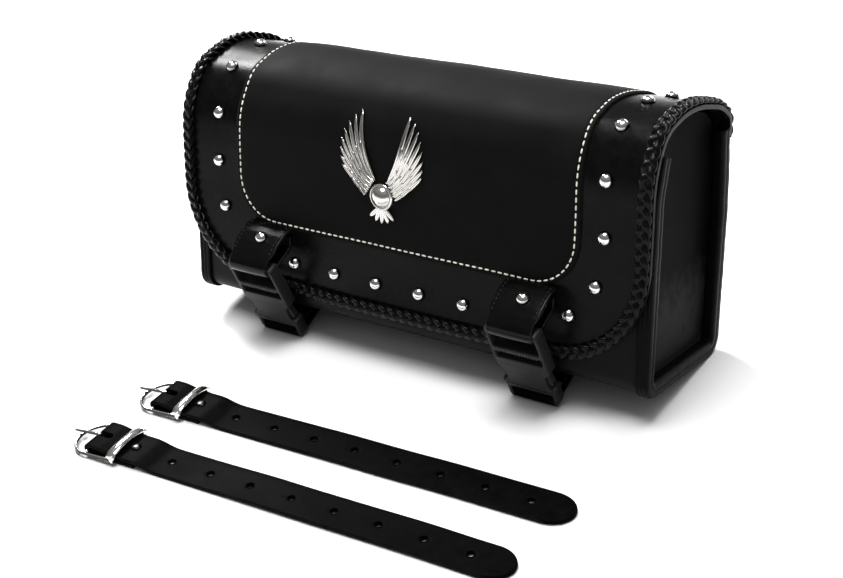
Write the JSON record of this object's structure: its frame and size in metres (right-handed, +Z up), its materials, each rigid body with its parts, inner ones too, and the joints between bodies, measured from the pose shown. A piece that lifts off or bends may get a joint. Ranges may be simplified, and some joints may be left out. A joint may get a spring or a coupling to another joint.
{
  "type": "motorcycle saddlebag",
  "caption": "Small leatherette saddlebag with a studded, braid-edged flap lid, side-release buckles and loose mounting straps with prong buckles.",
  "frame": {"origin": "middle of the footprint of the whole set, on the surface that it stands on", "axes": "+X to the right along the bag's width, as seen from its front; +Y from the front to the back; +Z up"},
  "size_m": [0.314, 0.269, 0.1595],
  "materials": {
    "black_leatherette": "smooth semi-gloss black leatherette",
    "black_nubuck": "matt black nubuck with cream stitching",
    "end_leatherette": "matt black leatherette",
    "edge_binding": "ridged black binding",
    "plaited_leather": "plaited black leather, semi-gloss",
    "strap_leather": "black strap leather",
    "lining_cloth": "plain woven black cloth",
    "fibreboard": "raw fibreboard",
    "chrome": "polished chrome plate",
    "dark_metal": "blackened steel",
    "moulded_plastic": "satin black moulded plastic"
  },
  "bodies": {
    "bag": {"body_wrap": "black_leatherette", "body_board": "fibreboard", "end_panel_left": "end_leatherette", "end_panel_right": "end_leatherette", "end_board_left": "fibreboard", "end_board_right": "fibreboard", "rim_binding_left": "edge_binding", "rim_binding_right": "edge_binding", "lining": "lining_cloth", "strap_loop_left": "strap_leather", "strap_loop_right": "strap_leather", "buckle_anchor_left": "strap_leather", "buckle_anchor_right": "strap_leather"},
    "lid": {"lid_shell": "black_leatherette", "lid_panel": "black_nubuck", "lid_lining": "lining_cloth", "lid_braid": "plaited_leather", "emblem": "chrome", "tab_left": "black_leatherette", "tab_right": "black_leatherette", "tab_stud_left": "chrome", "tab_stud_right": "chrome", "lid_stud_01": "chrome", "lid_stud_02": "chrome", "lid_stud_03": "chrome", "lid_stud_04": "chrome", "lid_stud_05": "chrome", "lid_stud_06": "chrome", "lid_stud_07": "chrome", "lid_stud_08": "chrome", "lid_stud_09": "chrome", "lid_stud_10": "chrome", "lid_stud_11": "chrome", "lid_stud_12": "chrome", "lid_stud_13": "chrome", "lid_stud_14": "chrome", "lid_stud_15": "chrome", "lid_stud_16": "chrome", "lid_stud_17": "chrome", "lid_stud_18": "chrome", "lid_stud_19": "chrome", "lid_stud_20": "chrome", "lid_stud_21": "chrome", "lid_stud_22": "chrome"},
    "socket_left": {"buckle_socket_left": "moulded_plastic"},
    "plug_left": {"buckle_plug_left": "moulded_plastic"},
    "arm_left_outer": {"latch_arm_left_outer": "moulded_plastic"},
    "arm_left_inner": {"latch_arm_left_inner": "moulded_plastic"},
    "socket_right": {"buckle_socket_right": "moulded_plastic"},
    "plug_right": {"buckle_plug_right": "moulded_plastic"},
    "arm_right_outer": {"latch_arm_right_outer": "moulded_plastic"},
    "arm_right_inner": {"latch_arm_right_inner": "moulded_plastic"},
    "strap_front": {"mounting_strap_front": "strap_leather", "strap_rivet_front": "dark_metal"},
    "strap_frame_front": {"strap_buckle_frame_front": "chrome"},
    "strap_prong_front": {"strap_buckle_prong_front": "chrome"},
    "strap_rear": {"mounting_strap_rear": "strap_leather", "strap_rivet_rear": "dark_metal"},
    "strap_frame_rear": {"strap_buckle_frame_rear": "chrome"},
    "strap_prong_rear": {"strap_buckle_prong_rear": "chrome"}
  },
  "joints": [
    {"name": "lid_hinge", "type": "hinge", "parent": "bag", "child": "lid", "pos_m": [-0.0005, 0.12742, 0.11818], "axis": [-1, 0, 0], "range_deg": [0, 110]},
    {"name": "socket_left_swing", "type": "hinge", "parent": "lid", "child": "socket_left", "pos_m": [-0.0895, 0.00021, 0.05622], "axis": [-1, 0, 0], "range_deg": [0, 44]},
    {"name": "plug_left_swing", "type": "hinge", "parent": "bag", "child": "plug_left", "pos_m": [-0.0895, 0.0173, 0.00447], "axis": [1, 0, 0], "range_deg": [0, 55]},
    {"name": "arm_left_outer_press", "type": "hinge", "parent": "plug_left", "child": "arm_left_outer", "pos_m": [-0.099, 0.014, 0.01444], "axis": [0, 0.9496, 0.3135], "range_deg": [0, 8], "stiffness_Nm_per_rad": 0.08},
    {"name": "arm_left_inner_press", "type": "hinge", "parent": "plug_left", "child": "arm_left_inner", "pos_m": [-0.08, 0.014, 0.01444], "axis": [0, -0.9496, -0.3135], "range_deg": [0, 8], "stiffness_Nm_per_rad": 0.08},
    {"name": "socket_right_swing", "type": "hinge", "parent": "lid", "child": "socket_right", "pos_m": [0.0885, 0.00021, 0.05622], "axis": [-1, 0, 0], "range_deg": [0, 44]},
    {"name": "plug_right_swing", "type": "hinge", "parent": "bag", "child": "plug_right", "pos_m": [0.0885, 0.0173, 0.00447], "axis": [1, 0, 0], "range_deg": [0, 55]},
    {"name": "arm_right_outer_press", "type": "hinge", "parent": "plug_right", "child": "arm_right_outer", "pos_m": [0.098, 0.014, 0.01444], "axis": [0, -0.9496, -0.3135], "range_deg": [0, 8], "stiffness_Nm_per_rad": 0.08},
    {"name": "arm_right_inner_press", "type": "hinge", "parent": "plug_right", "child": "arm_right_inner", "pos_m": [0.079, 0.014, 0.01444], "axis": [0, 0.9496, 0.3135], "range_deg": [0, 8], "stiffness_Nm_per_rad": 0.08},
    {"name": "strap_front_lift", "type": "slide", "parent": "bag", "child": "strap_front", "axis": [0, 0, 1], "range_m": [0, 0.12]},
    {"name": "strap_front_frame_turn", "type": "hinge", "parent": "strap_front", "child": "strap_frame_front", "pos_m": [-0.1124, -0.12007, 0.0039], "axis": [0.0366, -0.9993, 0], "range_deg": [0, 80]},
    {"name": "strap_front_prong_turn", "type": "hinge", "parent": "strap_frame_front", "child": "strap_prong_front", "pos_m": [-0.1124, -0.12007, 0.0039], "axis": [-0.0366, 0.9993, 0], "range_deg": [0, 95]},
    {"name": "strap_rear_lift", "type": "slide", "parent": "bag", "child": "strap_rear", "axis": [0, 0, 1], "range_m": [0, 0.12]},
    {"name": "strap_rear_frame_turn", "type": "hinge", "parent": "strap_rear", "child": "strap_frame_rear", "pos_m": [-0.1064, -0.07227, 0.0039], "axis": [0.0366, -0.9993, 0], "range_deg": [0, 80]},
    {"name": "strap_rear_prong_turn", "type": "hinge", "parent": "strap_frame_rear", "child": "strap_prong_rear", "pos_m": [-0.1064, -0.07227, 0.0039], "axis": [-0.0366, 0.9993, 0], "range_deg": [0, 95]}
  ],
  "couplings": [
    {"joint": "socket_left_swing", "follows": "lid_hinge", "ratio": 0.4},
    {"joint": "plug_left_swing", "follows": "lid_hinge", "ratio": 0.5},
    {"joint": "arm_left_inner_press", "follows": "arm_left_outer_press", "ratio": 1},
    {"joint": "socket_right_swing", "follows": "lid_hinge", "ratio": 0.4},
    {"joint": "plug_right_swing", "follows": "lid_hinge", "ratio": 0.5},
    {"joint": "arm_right_inner_press", "follows": "arm_right_outer_press", "ratio": 1}
  ]
}
